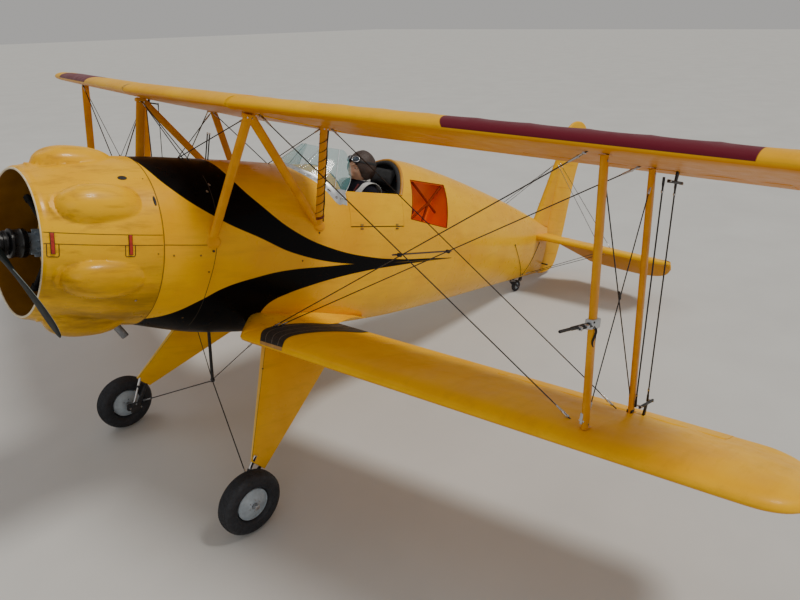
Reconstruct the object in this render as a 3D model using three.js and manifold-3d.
// Radio-controlled model of a single-seat swept-wing biplane with a cowled seven-cylinder radial engine.
// Lengths in the tables are given at the full-size aircraft and times SCALE become the model's millimetres.
// Aircraft frame: x toward the nose, y to port, z up, with zero at the upper wing's front strut line.
import * as THREE from 'three';
import { mergeVertices } from 'three/addons/utils/BufferGeometryUtils.js';
import Module from 'manifold-3d';

const wasm = await Module();
wasm.setup();

// Driving dimensions
const SCALE = 400; // millimetres of model for each metre of the aircraft, a 1:2.5 model
const PARK_PITCH = 13.8; // degrees nose up as it stands on its wheels
const STAND_X = -723.03; // millimetres from the aircraft's zero to the standing origin, along the ground
const FIT = 0.4 / SCALE; // play left between touching pieces

const CHORD = 0.905;
const SWEEP = 0.2149;
const SEMI_SPAN = 3.3;
const TIP = { lead: 3.1, trail: 2.98, share: 0.25 }; // where each edge starts to curve in
const CENTRE_HALF = 0.56;
const UPPER = { lead: 0.251, height: -0.002, dihedral: 0.022, incidence: 0.036 };
const LOWER = { lead: 0.0796, height: -1.255, dihedral: 0.0305, incidence: 0.035 };
const HINGE = 0.709; // aileron hinge behind the leading edge
const HINGE_RISE = 0.022; // and above the wing's flat underside
const AILERON = { inner: 1.72, outer: 2.86, nose: 0.0196, play: 0.002 };
const ROD = { low: 2.49, top: 2.427, beside: -0.0245, arm: 0.08, radius: 0.006, above: 0.079, below: 0.063 };

const THRUST_LINE = -0.779;
const COWL = { front: 0.898, rear: 0.357, wall: 0.012 };
const PROP = { x: 0.985, radius: 0.857, turn: -13.6 };
const WHEEL = { x: -0.0845, y: 0.7935, z: -2.166, radius: 0.197, width: 0.125, hub: 0.1 };
const TAILWHEEL = { x: -3.99, radius: 0.062, width: 0.042, pivotX: -3.915 };
const CABANE = { half: 0.587, front: 0, rear: -0.505 };
const STRUT = { chord: 0.055, thick: 0.026 };
const WIRE = 0.0045;

const COLOURS = {
  yellow: ['#f2a900', 0.35, 0.0],
  black: ['#0b0b0c', 0.35, 0.0],
  rubber: ['#16171a', 0.85, 0.0],
  grey: ['#8d9aa6', 0.4, 0.1],
  steel: ['#b8bcc0', 0.3, 0.9],
  dark: ['#2a2c2f', 0.5, 0.3],
  wire: ['#26282b', 0.45, 0.6],
  glass: ['#9fc6cf', 0.1, 0.0],
  leather: ['#2b1f1a', 0.6, 0.0],
};

// Helpers

const V = (x, y, z) => new THREE.Vector3(x, y, z);

const pitchSin = Math.sin(THREE.MathUtils.degToRad(PARK_PITCH));
const pitchCos = Math.cos(THREE.MathUtils.degToRad(PARK_PITCH));
const ground = WHEEL.x * pitchSin + WHEEL.z * pitchCos - WHEEL.radius;
const tailwheelZ = (ground + TAILWHEEL.radius - TAILWHEEL.x * pitchSin) / pitchCos;

function solid(geometry) {
  const g = geometry.clone();
  g.deleteAttribute('normal');
  g.deleteAttribute('uv');
  const m = mergeVertices(g, 1e-6);
  const mesh = new wasm.Mesh({
    numProp: 3,
    vertProperties: new Float32Array(m.attributes.position.array),
    triVerts: new Uint32Array(m.index.array),
  });
  mesh.merge();
  return new wasm.Manifold(mesh);
}

function shape(body) {
  const mesh = body.getMesh();
  const g = new THREE.BufferGeometry();
  g.setAttribute('position', new THREE.BufferAttribute(new Float32Array(mesh.vertProperties), 3));
  g.setIndex(new THREE.BufferAttribute(new Uint32Array(mesh.triVerts), 1));
  return g;
}

function moved(geometry, x, y, z, rx = 0, ry = 0, rz = 0) {
  const m = new THREE.Matrix4().makeRotationFromEuler(new THREE.Euler(rx, ry, rz));
  m.setPosition(x, y, z);
  return geometry.clone().applyMatrix4(m);
}

function block(x0, x1, y0, y1, z0, z1) {
  const g = new THREE.BoxGeometry(x1 - x0, y1 - y0, z1 - z0);
  return solid(moved(g, (x0 + x1) / 2, (y0 + y1) / 2, (z0 + z1) / 2));
}

function mirrored(geometry) {
  const g = geometry.clone().applyMatrix4(new THREE.Matrix4().makeScale(1, -1, 1));
  const index = g.index.array;
  for (let i = 0; i < index.length; i += 3) [index[i], index[i + 1]] = [index[i + 1], index[i]];
  return g;
}

const other = (body) => solid(mirrored(shape(body)));

// A closed skin through sections that all have the same number of points.
function loft(sections) {
  const around = sections[0].length;
  const rows = sections.length;
  const g = new THREE.CylinderGeometry(1, 1, 1, around, rows - 1, false);
  const p = g.attributes.position;
  let k = 0;
  for (let r = 0; r < rows; r += 1) {
    for (let a = 0; a <= around; a += 1) {
      const q = sections[rows - 1 - r][a % around];
      p.setXYZ(k, q.x, q.y, q.z);
      k += 1;
    }
  }
  for (const s of [sections[rows - 1], sections[0]]) {
    const mid = s.reduce((t, q) => t.add(q), V(0, 0, 0)).divideScalar(around);
    for (let a = 0; a < around; a += 1) {
      p.setXYZ(k, mid.x, mid.y, mid.z);
      k += 1;
    }
    for (let a = 0; a <= around; a += 1) {
      const q = s[a % around];
      p.setXYZ(k, q.x, q.y, q.z);
      k += 1;
    }
  }
  const body = solid(g);
  return body.volume() < 0 ? solid(flipped(g)) : body;
}

function flipped(geometry) {
  const g = geometry.clone();
  const index = g.index.array;
  for (let i = 0; i < index.length; i += 3) [index[i], index[i + 1]] = [index[i + 1], index[i]];
  return g;
}

// A bar of oval section from a to b, its long side turned toward the given direction.
function bar(a, b, chord, thick, sides = 10, along = V(1, 0, 0)) {
  const axis = b.clone().sub(a);
  const length = axis.length();
  axis.normalize();
  const side = Math.abs(axis.dot(along)) > 0.99 ? V(0, 0, 1) : along;
  const cross = axis.clone().cross(side).normalize();
  const flat = cross.clone().cross(axis).normalize();
  const m = new THREE.Matrix4().makeBasis(flat, axis, cross.negate());
  m.setPosition(a.clone().add(b).multiplyScalar(0.5));
  const g = new THREE.CylinderGeometry(0.5, 0.5, length, sides, 1, false);
  g.applyMatrix4(new THREE.Matrix4().makeScale(chord, 1, thick));
  return solid(g.applyMatrix4(m));
}

// A turned body from a profile of [x, radius] pairs about a line along x.
function turned(profile, x, y, z, sides = 28) {
  const g = new THREE.LatheGeometry(profile.map(([px, r]) => new THREE.Vector2(r, px)), sides);
  g.rotateZ(-Math.PI / 2);
  const body = solid(moved(g, x, y, z));
  return body.volume() < 0 ? solid(moved(flipped(g), x, y, z)) : body;
}

// A flat plate from an outline of [u, v] pairs, thick along the third axis.
function plate(outline, thick) {
  const s = new THREE.Shape(outline.map(([u, v]) => new THREE.Vector2(u, v)));
  const g = new THREE.ExtrudeGeometry(s, { depth: thick, bevelEnabled: false, steps: 1 });
  return g.translate(0, 0, -thick / 2);
}

const join = (list) => list.reduce((a, b) => a.add(b));

// Fuselage: stations with the top, waist and bottom heights, half width and corner roundness

const STATIONS = [
  // x, top, waist, bottom, half width, top power, bottom power
  [0.355, -0.314, -0.779, -1.244, 0.465, 2.0, 2.0],
  [0.2, -0.303, -0.785, -1.285, 0.452, 2.1, 2.1],
  [0.0, -0.295, -0.79, -1.33, 0.44, 2.2, 2.3],
  [-0.4, -0.282, -0.8, -1.37, 0.43, 2.3, 2.7],
  [-0.9, -0.27, -0.81, -1.395, 0.425, 2.3, 3.0],
  [-1.25, -0.225, -0.82, -1.4, 0.418, 2.2, 3.0],
  [-1.6, -0.172, -0.82, -1.397, 0.405, 2.0, 3.0],
  [-1.78, -0.168, -0.82, -1.39, 0.395, 1.9, 3.0],
  [-2.3, -0.247, -0.82, -1.365, 0.35, 1.8, 2.8],
  [-3.0, -0.384, -0.84, -1.32, 0.262, 1.8, 2.6],
  [-3.6, -0.505, -0.87, -1.28, 0.175, 1.8, 2.4],
  [-4.1, -0.614, -0.9, -1.245, 0.095, 1.8, 2.2],
  [-4.395, -0.69, -0.93, -1.222, 0.045, 2.0, 2.0],
];
const AROUND = 28;

function fuselageBody(grow) {
  const last = STATIONS.length - 1;
  const port = loft(STATIONS.map(([x, top, waist, bottom, half, pt, pb], i) => {
    const ring = [];
    for (let a = 0; a < AROUND; a += 1) {
      const t = (a / AROUND) * Math.PI * 2;
      const c = Math.cos(t);
      const s = Math.sin(t);
      const power = 2 / (s >= 0 ? pt : pb);
      const rise = (s >= 0 ? top - waist : waist - bottom) + grow;
      const y = Math.sign(c) * Math.abs(c) ** power * (half + grow);
      const z = waist + Math.sign(s) * Math.abs(s) ** power * rise;
      const end = i === 0 ? grow : i === last ? -grow : 0;
      ring.push(V(x + end, y, z));
    }
    return ring;
  })).intersect(block(-6, 2, -0.0005, 2, -3, 2));
  return port.add(other(port));
}

const SILL = -0.4;
const COCKPIT = { front: -0.97, rear: -1.6, floor: -1.12, wall: 0.03 };
const DOOR = { front: -1.0, rear: -1.555, bottom: -0.615 };
const HATCH = { front: -1.655, rear: -2.14, top: -0.31, bottom: -0.61 };

const hull = fuselageBody(0);
const hullOver = fuselageBody(FIT);
const hullInner = fuselageBody(-COCKPIT.wall);
const hullSkin = fuselageBody(-0.014);

const cockpitRoom = hullInner.intersect(block(COCKPIT.rear, COCKPIT.front, -1, 1, COCKPIT.floor, 1));
const cockpitMouth = block(COCKPIT.rear, COCKPIT.front, -1, 1, SILL, 1);
const hatchRoom = hullSkin.intersect(block(HATCH.rear - 0.05, COCKPIT.rear - 0.03, -1, 1, -0.75, 1));
const hatchMouth = block(HATCH.rear, HATCH.front, 0.1, 1, HATCH.bottom, HATCH.top);
const doorZone = block(DOOR.rear, DOOR.front, 0.1, 1, DOOR.bottom, SILL + 0.01);
const doorGap = block(DOOR.rear - 0.002, DOOR.front + 0.002, 0.1, 1, DOOR.bottom - 0.002, SILL + 0.02);

const fuselage = hull
  .subtract(cockpitRoom).subtract(cockpitMouth)
  .subtract(hatchRoom).subtract(hatchMouth).subtract(doorGap);
const cockpitDoor = hull.subtract(hullInner).intersect(doorZone).subtract(cockpitMouth);

// Wings: section points as fractions of the chord, behind the leading edge and above the flat underside

const SECTION = [
  [0.0, 0.03], [0.012, 0.055], [0.05, 0.08], [0.12, 0.0995], [0.25, 0.109], [0.4, 0.103],
  [0.56, 0.0845], [0.72, 0.058], [0.88, 0.028], [1.0, 0.007], [1.0, 0.0], [0.7, 0.003],
  [0.35, 0.0], [0.1, 0.005], [0.02, 0.014],
];
const TIP_ROWS = [TIP.trail, 3.04, TIP.lead, 3.16, 3.21, 3.25, 3.28, 3.294, 3.2993];

// Share of a wing edge's whole curve that is done at y, from its start out to the tip
function rounded(y, start, power) {
  const t = Math.max(0, (y - start) / (SEMI_SPAN - start));
  return 1 - Math.sqrt(1 - t ** power);
}

// The wing is drawn square and level first: x is minus the distance behind the leading edge.
function wingBlank(from, over) {
  return loft([from, AILERON.inner, ...TIP_ROWS].map((y) => {
    const lead = TIP.share * CHORD * rounded(y, TIP.lead, 2.5);
    const local = CHORD - lead - (1 - TIP.share) * CHORD * rounded(y, TIP.trail, 2);
    const rise = CHORD * (local / CHORD) ** 0.8;
    return SECTION.map(([u, h]) => V(-lead - u * local, y, 0.04 * (1 - rise / CHORD) + h * rise - over));
  }));
}

function placed(body, wing, straight = false) {
  const m = new THREE.Matrix4().set(
    1, straight ? 0 : -SWEEP, 0, wing.lead - (straight ? SWEEP * CENTRE_HALF : 0),
    0, 1, 0, 0,
    wing.incidence, straight ? 0 : wing.dihedral, 1, wing.height + (straight ? wing.dihedral * CENTRE_HALF : 0),
    0, 0, 0, 1,
  );
  return solid(shape(body).applyMatrix4(m));
}

const noseBar = (radius, y0, y1) =>
  bar(V(-HINGE, y0, HINGE_RISE), V(-HINGE, y1, HINGE_RISE), radius * 2, radius * 2, 12);

function wingWithAileron(blank, side) {
  const { inner, outer, nose, play } = AILERON;
  const [low, high] = side > 0 ? [HINGE_RISE, 1] : [-1, HINGE_RISE];
  const y = side > 0 ? ROD.low : ROD.top;
  const slot = block(-2, -HINGE, inner, outer, -1, 1)
    .add(noseBar(nose + play, inner, outer))
    .add(block(-HINGE - 0.01, -HINGE + 0.045, y - 0.014, y + 0.014, low, high));
  const flap = block(-2, -HINGE, inner + play, outer - play, -1, 1)
    .intersect(blank)
    .add(noseBar(nose, inner + play, outer - play).intersect(blank));
  return { fixed: blank.subtract(slot), flap };
}

// Each aileron carries a post with a double arm for the two rods to the other wing.
function armAt(side) {
  const y = side > 0 ? ROD.low : ROD.top;
  const z = HINGE_RISE + (side > 0 ? ROD.above : -ROD.below);
  const [low, high] = [Math.min(HINGE_RISE, z), Math.max(HINGE_RISE, z)];
  const reach = ROD.arm + 0.012;
  const post = block(-HINGE - 0.012, -HINGE + 0.012, y - 0.006, y + 0.006, low, high);
  const arm = block(-HINGE - reach, -HINGE + reach, y - 0.006, y + 0.006, z - 0.007, z + 0.007);
  if (side < 0) return post.add(arm);
  // the rods turn on pins that stand out from the lower arm
  const pinEnd = y + ROD.beside + ROD.radius + FIT;
  const pin = (x) => block(x - 0.005, x + 0.005, pinEnd, y, z - 0.005, z + 0.005);
  return join([post, arm, pin(-HINGE - ROD.arm), pin(-HINGE + ROD.arm)]);
}

const upperHalf = wingWithAileron(wingBlank(CENTRE_HALF - 0.01, 0), -1);
const lowerHalf = wingWithAileron(wingBlank(0.2, 0), 1);
const upperPort = placed(upperHalf.fixed, UPPER);
const centreLength = (over) => loft([-CENTRE_HALF, CENTRE_HALF].map((y) =>
  SECTION.map(([u, h]) => V(-u * CHORD, y, h * CHORD - over))));
const centreCut = solid(moved(new THREE.CylinderGeometry(0.42, 0.42, 1, 24), -1.155, 0, 0, Math.PI / 2));
const centre = placed(centreLength(0).subtract(centreCut), UPPER, true);
const upperWing = join([centre, upperPort, other(upperPort)]);
const upperOverPort = placed(wingBlank(CENTRE_HALF - 0.01, 2 * FIT), UPPER);
const upperOver = join([placed(centreLength(2 * FIT), UPPER, true), upperOverPort, other(upperOverPort)]);
const lowerPort = placed(lowerHalf.fixed, LOWER).subtract(hullOver);
const lowerOver = placed(wingBlank(0.2, -2 * FIT), LOWER);
const upperFlap = placed(upperHalf.flap.add(armAt(-1)), UPPER);
const lowerFlap = placed(lowerHalf.flap.add(armAt(1)), LOWER);

// Fairing that fills the corner between the lower wing root and the fuselage side
const filletStations = [
  // x, outer reach, upper height, lower height
  [-0.035, 0.5, -1.165, -1.22],
  [-0.12, 0.57, -1.105, -1.185],
  [-0.3, 0.59, -1.1, -1.185],
  [-0.5, 0.59, -1.11, -1.2],
  [-0.9, 0.55, -1.18, -1.265],
  [-1.2, 0.45, -1.26, -1.3],
  [-1.38, 0.37, -1.33, -1.345],
];
const filletBody = loft(filletStations.map(([x, reach, high, low]) => [
  V(x, 0.2, low), V(x, 0.2, high), V(x, 0.38, high), V(x, 0.42, high - 0.3 * (high - low)),
  V(x, reach - 0.03, low + 0.4 * (high - low)), V(x, reach, low + 0.2 * (high - low)), V(x, reach, low),
]));
const lowerUnder = placed(wingBlank(0.2, 0).add(wingBlank(0.2, -FIT)).add(wingBlank(0.2, FIT)), LOWER);
const filletCut = filletBody.subtract(hullOver).subtract(lowerUnder).subtract(lowerOver);
const largest = (body) => body.decompose().sort((a, b) => b.volume() - a.volume())[0];
const rootFairing = largest(filletCut);

// Wing point helper: height of the skin at a place
function skin(wing, x, y, upperSide) {
  const u = (wing.lead - SWEEP * y - x) / CHORD;
  const side = upperSide ? SECTION.slice(0, 10) : SECTION.slice(10).reverse().concat([[1, 0]]);
  let h = 0;
  for (let i = 0; i + 1 < side.length; i += 1) {
    const [a, b] = [side[i], side[i + 1]];
    if (u >= a[0] && u <= b[0]) h = a[1] + ((b[1] - a[1]) * (u - a[0])) / (b[0] - a[0]);
  }
  return wing.height + wing.dihedral * y + h * CHORD - wing.incidence * u * CHORD;
}

// Struts between the wings
const TOP = { y: 2.35, front: -0.379, rear: -0.884 };
const FOOT = { y: 2.45, front: -0.557, rear: -1.095 };
const topAt = (x) => V(x, TOP.y, skin(UPPER, x, TOP.y, false));
const footAt = (x) => V(x, FOOT.y, skin(LOWER, x, FOOT.y, true));
const ends = { fu: topAt(TOP.front), ru: topAt(TOP.rear), fl: footAt(FOOT.front), rl: footAt(FOOT.rear) };
const wingStrut = (a, b) => bar(a.clone().lerp(b, -0.01), b.clone().lerp(a, -0.01), STRUT.chord, STRUT.thick)
  .subtract(upperOver).subtract(lowerOver);
const strutFront = wingStrut(ends.fu, ends.fl);
const strutRear = wingStrut(ends.ru, ends.rl);

// Cabane: an N of three struts on each side
const cabaneTop = {
  front: V(CABANE.front, CABANE.half, 0.02),
  rear: V(CABANE.rear, CABANE.half, 0.02),
};
const cabaneFoot = { front: V(0.056, 0.422, -0.695), rear: V(-0.716, 0.403, -0.607) };
const cabane = join([
  bar(cabaneTop.front, cabaneFoot.front, STRUT.chord, STRUT.thick),
  bar(cabaneTop.front.clone().add(V(-0.005, 0, 0)), cabaneFoot.rear.clone().add(V(0.01, 0, 0)), 0.045, 0.022),
  bar(cabaneTop.rear, cabaneFoot.rear, STRUT.chord, STRUT.thick),
]).subtract(upperOver).subtract(hullOver);

// Stays of one bay
const flyingRoot = (x) => V(x, 0.65, skin(LOWER, x, 0.65, true) - 0.012);
const landingEnd = (foot, dx, dy) => {
  const [x, y] = [foot.x + dx, foot.y + dy];
  return V(x, y, skin(LOWER, x, y, true) - 0.012);
};
const stay = (a, b, r = WIRE) => bar(a, b, r * 2, r * 2, 8)
  .subtract(upperOver).subtract(lowerOver).subtract(hullOver);
// Middle of the shortest way between the line a to b and the line c to d
function nearest(a, b, c, d) {
  const u = b.clone().sub(a);
  const v = d.clone().sub(c);
  const w = a.clone().sub(c);
  const [uu, uv, vv, uw, vw] = [u.dot(u), u.dot(v), v.dot(v), u.dot(w), v.dot(w)];
  const s = (uv * vw - vv * uw) / (uu * vv - uv * uv);
  const t = (uu * vw - uv * uw) / (uu * vv - uv * uv);
  return a.clone().addScaledVector(u, s).add(c.clone().addScaledVector(v, t)).multiplyScalar(0.5);
}
const stays = {
  lf: [V(-0.035, CABANE.half + 0.03, 0.012), landingEnd(ends.fl, -0.042, -0.079)],
  lr: [V(CABANE.rear, CABANE.half + 0.03, 0.012), landingEnd(ends.rl, 0, -0.075)],
  ff: [flyingRoot(-0.225), ends.fu.clone().add(V(0.04, -0.04, 0.012))],
  fr: [flyingRoot(-0.26), ends.ru.clone().add(V(0.0, -0.04, 0.012))],
};
const stayBodies = ['lf', 'lr', 'ff', 'fr'].map((k) => stay(...stays[k]));
const [landingFront, landingRear, flyingFront, flyingRear] = stayBodies;
const crossFront = nearest(...stays.lf, ...stays.ff);
const crossRear = nearest(...stays.lr, ...stays.fr);
const around = (k) => bar(...stays[k], WIRE * 2 + 2 * FIT, WIRE * 2 + 2 * FIT, 8);
// Rod that lies beside the stays where they cross
const beside = V(0.04, -0.0185, 0);
const spreaderStart = crossFront.clone().add(beside);
const spreaderEnd = crossRear.clone().add(V(-beside.x, beside.y, 0));
const spreader = largest(bar(spreaderStart, spreaderEnd, 0.01, 0.01, 8)
  .subtract(around('lf')).subtract(around('ff')).subtract(around('lr')).subtract(around('fr')));

// Push rods between the double arms of the lower and upper ailerons
function wingPoint(wing, x, y, z) {
  return V(wing.lead - SWEEP * y + x, y, wing.height + wing.dihedral * y + z + wing.incidence * x);
}
const rodEnds = (step) => [
  wingPoint(LOWER, -HINGE + step, ROD.low, HINGE_RISE + ROD.above).add(V(0, ROD.beside, 0)),
  wingPoint(UPPER, -HINGE + step, ROD.top, HINGE_RISE - ROD.below).add(V(0, ROD.beside, 0)),
];
function pushRod(step) {
  const [a, b] = rodEnds(step);
  const over = b.clone().sub(a).normalize().multiplyScalar(0.012);
  return bar(a.clone().sub(over), b.clone().add(over), ROD.radius * 2, ROD.radius * 2, 8);
}

// Cowl: a turned shell with seven bulges over the cylinder heads

const COWL_OUT = [
  // x, radius
  [0.898, 0.362], [0.893, 0.372], [0.86, 0.384], [0.78, 0.408], [0.65, 0.436], [0.5, 0.456], [COWL.rear, 0.467],
];
const bulgeAngle = (i) => Math.PI / 2 + (i * 2 * Math.PI) / 7;
function cowlSolid(over) {
  const profile = COWL_OUT.map(([x, r]) => [x, r + over]);
  const nose = COWL_OUT[0][0] + over;
  const shell = turned([[nose, 0], ...profile, [COWL.rear - over, 0]], 0, 0, THRUST_LINE, 42);
  const bulges = [];
  for (let i = 0; i < 7; i += 1) {
    const t = bulgeAngle(i);
    const g = new THREE.SphereGeometry(1, 16, 10);
    g.applyMatrix4(new THREE.Matrix4().makeScale(0.205 + over, 0.112 + over, 0.1 + over));
    g.rotateX(t - Math.PI / 2);
    g.translate(0.62, Math.cos(t) * 0.4, THRUST_LINE + Math.sin(t) * 0.4);
    bulges.push(solid(g));
  }
  return join([shell, ...bulges]);
}
const cowlInner = COWL_OUT.map(([x, r], i) => [
  i === 0 ? x + 0.01 : x,
  r - COWL.wall - (i < 2 ? 0 : 0.004),
]);
const cowlInside = turned([
  [COWL_OUT[0][0] + 0.01, 0], ...cowlInner, [COWL.rear - 0.01, 0.45], [COWL.rear - 0.01, 0],
], 0, 0, THRUST_LINE, 42);
const cowl = cowlSolid(0).subtract(cowlInside);

// Engine: crankcase, seven cylinders and the ring that bolts to the firewall
const cylinders = [];
for (let i = 0; i < 7; i += 1) {
  const t = bulgeAngle(i);
  const at = (r) => V(0.62, Math.cos(t) * r, THRUST_LINE + Math.sin(t) * r);
  cylinders.push(bar(at(0.1), at(0.385), 0.12, 0.12, 10));
}
const crankcase = turned([
  [0.357, 0], [0.357, 0.15], [0.5, 0.15], [0.54, 0.16], [0.7, 0.16],
  [0.76, 0.11], [0.86, 0.08], [0.929, 0.07], [0.929, 0],
], 0, 0, THRUST_LINE, 24);
const engine = join([crankcase, ...cylinders]);
const exhaust = bar(V(0.5, 0.2, -1.17), V(0.42, 0.24, -1.265), 0.05, 0.05, 12).subtract(cowlSolid(FIT));

// Propeller: a turned hub and two twisted blades
function bladeBody() {
  const rows = [
    // radius, chord, thickness, twist in degrees
    [0.03, 0.08, 0.05, 55],
    [0.12, 0.085, 0.035, 48],
    [0.28, 0.115, 0.024, 34],
    [0.45, 0.125, 0.017, 25],
    [0.62, 0.115, 0.012, 19],
    [0.76, 0.09, 0.009, 15],
    [0.83, 0.06, 0.007, 14],
    [PROP.radius, 0.02, 0.005, 13],
  ];
  return loft(rows.map(([r, chord, thick, twist]) => {
    const ring = [];
    const w = THREE.MathUtils.degToRad(twist);
    for (let a = 0; a < 10; a += 1) {
      const t = (a / 10) * Math.PI * 2;
      const across = Math.cos(t) * chord * 0.5;
      const deep = Math.sin(t) * thick * 0.5;
      ring.push(V(across * Math.sin(w) + deep * Math.cos(w), r, across * Math.cos(w) - deep * Math.sin(w)));
    }
    return ring;
  }));
}
const blade = shape(bladeBody());
const spinTurn = THREE.MathUtils.degToRad(PROP.turn);
const bladeAt = (turn) => solid(moved(blade, PROP.x, 0, THRUST_LINE, turn, 0, 0));
const propeller = join([
  turned([
    [-0.055, 0], [-0.055, 0.062], [0.03, 0.062], [0.04, 0.045], [0.062, 0.03], [0.062, 0],
  ], PROP.x, 0, THRUST_LINE, 20),
  bladeAt(spinTurn), bladeAt(spinTurn + Math.PI),
]);

// Landing gear
const gearTop = { lead: V(-0.34, 0.43, -1.345), trail: V(-1.06, 0.41, -1.39) };
const gearFoot = { lead: V(-0.125, 0.712, -1.955), trail: V(-0.232, 0.716, -2.035) };
function legPanel() {
  const thick = 0.028;
  const row = (lead, trail) => {
    const mid = lead.clone().lerp(trail, 0.3);
    const near = lead.clone().lerp(trail, 0.06);
    const out = V(0, thick / 2, thick / 5);
    const thin = out.clone().multiplyScalar(0.4);
    return [
      lead, near.clone().add(out), mid.clone().add(out), trail.clone().add(thin),
      trail.clone().sub(thin), mid.clone().sub(out), near.clone().sub(out),
    ];
  };
  const up = (foot, top) => top.clone().lerp(foot, -0.25);
  const top = row(up(gearFoot.lead, gearTop.lead), up(gearFoot.trail, gearTop.trail));
  return loft([row(gearFoot.lead, gearFoot.trail), top]);
}
const gearLeg = largest(legPanel()
  .subtract(hullOver).subtract(lowerUnder).subtract(filletBody).subtract(moveBody(filletBody, 0, 0, -FIT)));
const axleStart = V(WHEEL.x, 0.66, WHEEL.z);
const axleEnd = V(WHEEL.x, WHEEL.y + 0.075, WHEEL.z);
const legEnd = gearFoot.lead.clone().lerp(gearFoot.trail, 0.35);
const legCover = legPanel();
const axle = join([
  bar(axleStart, axleEnd, 0.034, 0.034, 12),
  bar(legEnd, V(WHEEL.x - 0.02, 0.682, WHEEL.z + 0.01), 0.032, 0.032, 10),
  bar(gearFoot.trail.clone().add(V(0.03, -0.004, 0)), V(WHEEL.x - 0.05, 0.685, WHEEL.z), 0.026, 0.026, 10),
  bar(V(WHEEL.x - 0.07, 0.683, WHEEL.z), V(WHEEL.x + 0.03, 0.683, WHEEL.z), 0.05, 0.04, 8),
]).subtract(moveBody(legCover, 0, 0, -2 * FIT)).subtract(legCover);

function moveBody(body, x, y, z) {
  return solid(moved(shape(body), x, y, z));
}

// Turns a wheel's axle to run across and puts one of its corners on the ground.
function upend(geometry, side) {
  const across = moved(geometry, 0, 0, 0, 0, 0, (side * Math.PI) / 2);
  return moved(across, 0, 0, 0, 0, THREE.MathUtils.degToRad(PARK_PITCH), 0);
}

function wheelPieces(y, side) {
  const w = WHEEL.width / 2;
  const r = WHEEL.radius;
  const ring = [];
  for (let a = 0; a < 12; a += 1) {
    const t = (a / 12) * Math.PI * 2;
    const h = r - WHEEL.hub - FIT;
    ring.push([Math.cos(t) * w, WHEEL.hub + FIT + h / 2 + Math.sin(t) * (h / 2)]);
  }
  ring.push(ring[0]);
  const tyre = turned(ring, 0, 0, 0, 40);
  const hub = turned([
    [-0.05, 0.0178], [-0.05, 0.05], [-0.032, 0.09], [-0.012, WHEEL.hub - FIT], [0.012, WHEEL.hub - FIT],
    [0.03, 0.09], [0.046, 0.05], [0.05, 0.0178], [-0.05, 0.0178],
  ], 0, 0, 0, 28);
  const put = (body) => solid(moved(upend(shape(body), side), WHEEL.x, y, WHEEL.z));
  return { tyre: put(tyre), hub: put(hub) };
}

// Tail
const finOutline = [[-4.12, -0.6], [-4.333, 0.03], [-4.375, 0.17], [-4.396, 0.28], [-4.396, -0.7], [-4.1, -0.7]];
const rudderOutline = [
  // x, z
  [-4.414, 0.3], [-4.455, 0.39], [-4.55, 0.452], [-4.68, 0.475], [-4.8, 0.45], [-4.875, 0.38],
  [-4.895, 0.28], [-4.86, 0.14], [-4.82, 0.0], [-4.8, -0.2], [-4.79, -0.8], [-4.745, -1.1],
  [-4.65, -1.2], [-4.5, -1.235], [-4.414, -1.225],
];
function upright(outline, thick) {
  const g = plate(outline, thick);
  return solid(g.rotateX(Math.PI / 2));
}
const fin = largest(upright(finOutline, 0.05).subtract(hullOver));
const RUDDER_HINGE = -4.414;
const rudderHorn = block(-4.44, -4.415, -0.09, 0.09, -1.12, -1.105);
const rudderNose = bar(V(RUDDER_HINGE, 0, -1.22), V(RUDDER_HINGE, 0, 0.3), 0.034, 0.034, 12);
const rudder = upright(rudderOutline, 0.034).add(rudderHorn).add(rudderNose);

const STAB_Z = -0.79;
const stabOutline = [
  // x, y
  [-4.06, 0.0], [-4.06, 0.1], [-4.23, 1.22], [-4.29, 1.34], [-4.37, 1.39], [-4.4165, 1.39], [-4.4165, 0.0],
];
const stabPlate = plate(stabOutline, 0.05).translate(0, 0, STAB_Z);
const stabilizer = largest(solid(stabPlate).subtract(hullOver).subtract(block(-4.5, -4, -1, 0.03, -1, 0)));
const elevatorOutline = [
  [-4.435, 0.06], [-4.435, 1.39], [-4.56, 1.38], [-4.69, 1.3], [-4.77, 1.12],
  [-4.79, 0.85], [-4.78, 0.5], [-4.74, 0.42], [-4.5, 0.06],
];
const DROOP = THREE.MathUtils.degToRad(36);
const ELEVATOR_HINGE = { x: -4.435, z: STAB_Z };
const elevatorFlat = solid(plate(elevatorOutline, 0.03).translate(0, 0, STAB_Z));
const elevatorNose = bar(V(-4.435, 0.06, STAB_Z), V(-4.435, 1.39, STAB_Z), 0.034, 0.034, 12);
function drooped(body) {
  const g = shape(body);
  g.translate(-ELEVATOR_HINGE.x, 0, -ELEVATOR_HINGE.z);
  g.rotateY(-DROOP);
  g.translate(ELEVATOR_HINGE.x, 0, ELEVATOR_HINGE.z);
  return solid(g);
}
const elevator = drooped(elevatorFlat.add(elevatorNose));

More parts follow.
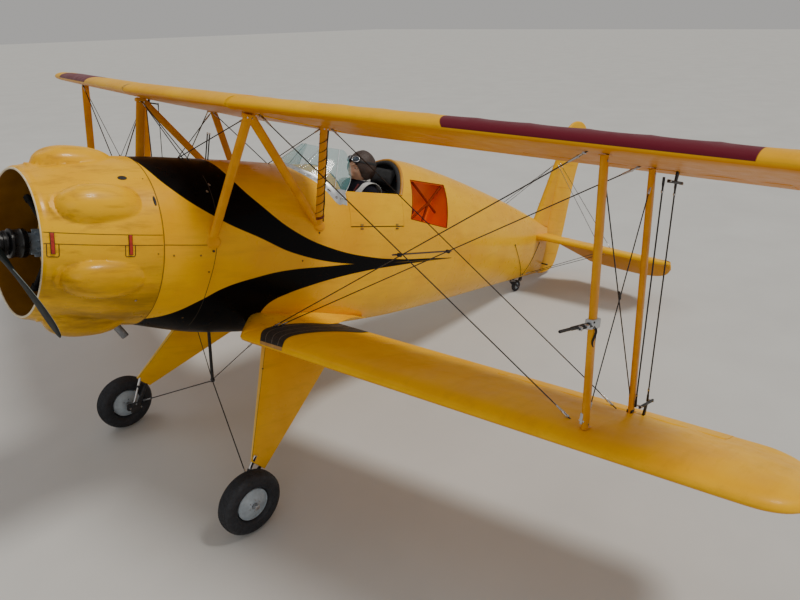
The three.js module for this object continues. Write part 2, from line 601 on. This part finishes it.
// Tailwheel: a sprung arm under the stern with a steering fork
const tailArm = bar(V(-3.7, 0, -1.25), V(-3.935, 0, -1.288), 0.05, 0.02, 10, V(0, 1, 0)).subtract(hullOver);
const forkTop = V(TAILWHEEL.pivotX, 0, -1.2995);
const forkFeet = TAILWHEEL.width / 2 + 0.006;
const forkEnd = forkFeet + 0.005;
const forkSide = (y) =>
  bar(V(TAILWHEEL.pivotX - 0.006, y, forkTop.z - 0.012), V(TAILWHEEL.x, y, tailwheelZ), 0.026, 0.008, 8);
const fork = join([
  bar(forkTop, forkTop.clone().add(V(0, 0, -0.014)), 0.04, 0.06, 12, V(1, 0, 0)),
  forkSide(forkFeet), forkSide(-forkFeet),
  bar(V(TAILWHEEL.x, -forkEnd, tailwheelZ), V(TAILWHEEL.x, forkEnd, tailwheelZ), 0.014, 0.014, 10),
]);
function tailRing() {
  const ring = [];
  for (let a = 0; a < 12; a += 1) {
    const t = (a / 12) * Math.PI * 2;
    const half = (TAILWHEEL.radius - 0.0078) / 2;
    ring.push([Math.cos(t) * TAILWHEEL.width * 0.5, 0.0078 + half + Math.sin(t) * half]);
  }
  ring.push(ring[0]);
  return ring;
}
const tailTyre = solid(moved(upend(shape(turned(tailRing(), 0, 0, 0, 28)), 1), TAILWHEEL.x, 0, tailwheelZ));

// Cockpit furniture
const panelRoom = fuselageBody(-COCKPIT.wall - FIT);
const panel = panelRoom.intersect(block(-0.992, -0.971, -1, 1, -0.95, -0.41));
const seatRoom = fuselageBody(-0.045);
const seatBack = seatRoom.intersect(block(-1.592, -1.545, -0.3, 0.3, -1.1, -0.45));
const seat = seatBack.add(block(-1.57, -1.15, -0.26, 0.26, -1.119, -1.0));
const headRest = seatRoom.intersect(block(-1.5992, -1.53, -1, 1, SILL - 0.03, 0));
const torso = loft([
  // x, half depth, half width, height
  [-1.37, 0.1, 0.19, -0.999],
  [-1.385, 0.11, 0.21, -0.7],
  [-1.4, 0.1, 0.235, -0.5],
  [-1.41, 0.085, 0.2, -0.42],
  [-1.41, 0.06, 0.085, -0.37],
  [-1.41, 0.05, 0.06, -0.33],
].map(([x, deep, wide, z]) => {
  const ring = [];
  for (let a = 0; a < 14; a += 1) {
    const t = (a / 14) * Math.PI * 2;
    ring.push(V(x + Math.cos(t) * deep, Math.sin(t) * wide, z));
  }
  return ring;
}));
const headShape = new THREE.SphereGeometry(1, 18, 14);
headShape.applyMatrix4(new THREE.Matrix4().makeScale(0.108, 0.09, 0.125));
const headBall = solid(moved(headShape, -1.415, 0, -0.255));
const pilot = torso.add(headBall);

// Windscreen: three flat panes standing on a curved base strip
const deckOver = fuselageBody(0.0012);
const PANES = [
  // foot x, foot y, top x, top y
  [-1.03, 0.375, -1.1, 0.225],
  [-0.9, 0.31, -1.02, 0.18],
  [-0.72, 0.14, -0.93, 0.105],
];
const paneEdges = [...PANES, ...PANES.slice().reverse().map(([a, b, c, d]) => [a, -b, c, -d])];
const screenBlank = loft(paneEdges.map(([fx, fy, tx, ty]) => [
  V(fx, fy, -0.62), V(tx, ty, -0.13), V(tx - 0.008, ty * 0.97, -0.13), V(fx - 0.008, fy * 0.97, -0.62),
]));
const windscreen = largest(screenBlank.subtract(deckOver)
  .subtract(block(-1.5, COCKPIT.front + 0.002, -1, 1, -1, SILL + 0.006)));

// Pitot tube on the port front interplane strut
const strutPoint = ends.fu.clone().lerp(ends.fl, 0.585);
const pitotFoot = strutPoint.clone().add(V(0.0285, 0, 0));
const pitotTip = strutPoint.clone().add(V(0.29, 0, 0));
const pitot = bar(pitotFoot, pitotTip, 0.014, 0.014, 8, V(0, 0, 1));

// Scene graph
const model = new THREE.Group();
const aircraft = new THREE.Group();
const pitch = THREE.MathUtils.degToRad(-PARK_PITCH);
aircraft.rotation.set(0, pitch, 0);
aircraft.position.set(-STAND_X, 0, -ground * SCALE);
model.add(aircraft);

const problems = [];
function add(name, body, colour) {
  const [color, roughness, metalness] = COLOURS[colour];
  const parts = body.decompose();
  if (parts.length !== 1) problems.push(`${name} has ${parts.length} bodies`);
  const g = shape(body).applyMatrix4(new THREE.Matrix4().makeScale(SCALE, SCALE, SCALE));
  const mesh = new THREE.Mesh(g, new THREE.MeshStandardMaterial({ color, roughness, metalness }));
  mesh.name = name;
  aircraft.add(mesh);
}

add('fuselage', fuselage, 'yellow');
add('cockpit_door', cockpitDoor, 'yellow');
add('cowl', cowl, 'yellow');
add('engine', engine, 'grey');
add('exhaust', exhaust, 'steel');
add('propeller', propeller, 'dark');
add('upper_wing', upperWing, 'yellow');
add('fin', fin, 'yellow');
add('rudder', rudder, 'yellow');
add('instrument_panel', panel, 'black');
add('seat', seat, 'black');
add('headrest', headRest, 'black');
add('pilot_bust', pilot, 'leather');
add('windscreen', windscreen, 'glass');
add('tail_arm', tailArm, 'steel');
add('tail_fork', fork, 'dark');
add('tail_tyre', tailTyre, 'rubber');
add('pitot', pitot, 'dark');

const sided = [
  // node, body, colour
  ['lower_wing', lowerPort, 'yellow'],
  ['aileron_upper', upperFlap, 'yellow'],
  ['aileron_lower', lowerFlap, 'yellow'],
  ['root_fairing', rootFairing, 'yellow'],
  ['strut_front', strutFront, 'yellow'],
  ['strut_rear', strutRear, 'yellow'],
  ['cabane', cabane, 'yellow'],
  ['landing_wire_front', landingFront, 'wire'],
  ['landing_wire_rear', landingRear, 'wire'],
  ['flying_wire_front', flyingFront, 'wire'],
  ['flying_wire_rear', flyingRear, 'wire'],
  ['spreader', spreader, 'wire'],
  ['rod_front', pushRod(ROD.arm), 'dark'],
  ['rod_rear', pushRod(-ROD.arm), 'dark'],
  ['gear_leg', gearLeg, 'yellow'],
  ['axle', axle, 'dark'],
  ['stabilizer', stabilizer, 'yellow'],
  ['elevator', elevator, 'yellow'],
];
for (const [name, body, colour] of sided) {
  add(`${name}_left`, body, colour);
  add(`${name}_right`, other(body), colour);
}
for (const [tag, side] of [['left', 1], ['right', -1]]) {
  const { tyre, hub } = wheelPieces(side * WHEEL.y, side);
  add(`tyre_${tag}`, tyre, 'rubber');
  add(`hub_${tag}`, hub, 'grey');
}

if (problems.length) throw new Error(problems.join('; '));

export default model;
